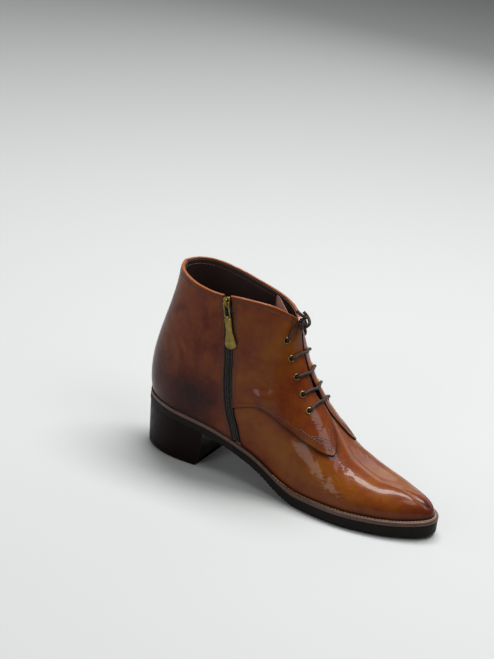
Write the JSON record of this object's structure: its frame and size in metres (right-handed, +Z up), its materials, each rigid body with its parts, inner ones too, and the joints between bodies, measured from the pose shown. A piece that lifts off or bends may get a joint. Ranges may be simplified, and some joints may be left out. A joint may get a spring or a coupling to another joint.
{
  "type": "lace up ankle boot",
  "caption": "Left lace up ankle boot with open lacing over a tongue, an inner side zip, a stitched welt and a low block heel",
  "frame": {"origin": "under the middle of the boot's box, on the floor it stands on", "axes": "+X to the toe, +Y to the outer side, +Z up"},
  "size_m": [0.2727, 0.0886, 0.1659],
  "materials": {
    "outsole": "matt dark brown rubber",
    "heel_block": "satin dark brown",
    "welt": "waxed brown leather",
    "insole": "dark brown lining leather",
    "upper": "glossy burnished cognac leather",
    "tongue": "smooth brown leather",
    "eyelet": "antique brass",
    "lace": "round waxed cord",
    "zip_tape": "black woven tape",
    "zip_teeth": "black coil",
    "zip_metal": "antique brass"
  },
  "bodies": {
    "boot": {"outsole": "outsole", "heel_block": "heel_block", "welt": "welt", "insole": "insole", "upper": "upper", "tongue": "tongue", "eyelet_inner_1": "eyelet", "eyelet_inner_2": "eyelet", "eyelet_inner_3": "eyelet", "eyelet_inner_4": "eyelet", "eyelet_inner_5": "eyelet", "eyelet_outer_1": "eyelet", "eyelet_outer_2": "eyelet", "eyelet_outer_3": "eyelet", "eyelet_outer_4": "eyelet", "eyelet_outer_5": "eyelet", "lace_bar_2": "lace", "lace_bar_3": "lace", "lace_bar_4": "lace", "lace_bar_5": "lace", "lace_top_inner": "lace", "lace_top_outer": "lace", "lace_knot": "lace", "lace_end_inner": "lace", "lace_end_outer": "lace", "zip_tape": "zip_tape", "zip_teeth": "zip_teeth", "zip_slider": "zip_metal"},
    "link": {"zip_link": "zip_metal"},
    "pull": {"zip_pull": "zip_metal"}
  },
  "joints": [
    {"name": "link_swing", "type": "hinge", "parent": "boot", "child": "link", "pos_m": [-0.05887, -0.03758, 0.15402], "axis": [-0.9651, -0.0314, -0.26], "range_deg": [0, 110]},
    {"name": "pull_swing", "type": "hinge", "parent": "link", "child": "pull", "pos_m": [-0.05575, -0.03767, 0.14243], "axis": [-0.9651, -0.0314, -0.26], "range_deg": [0, 80]}
  ]
}
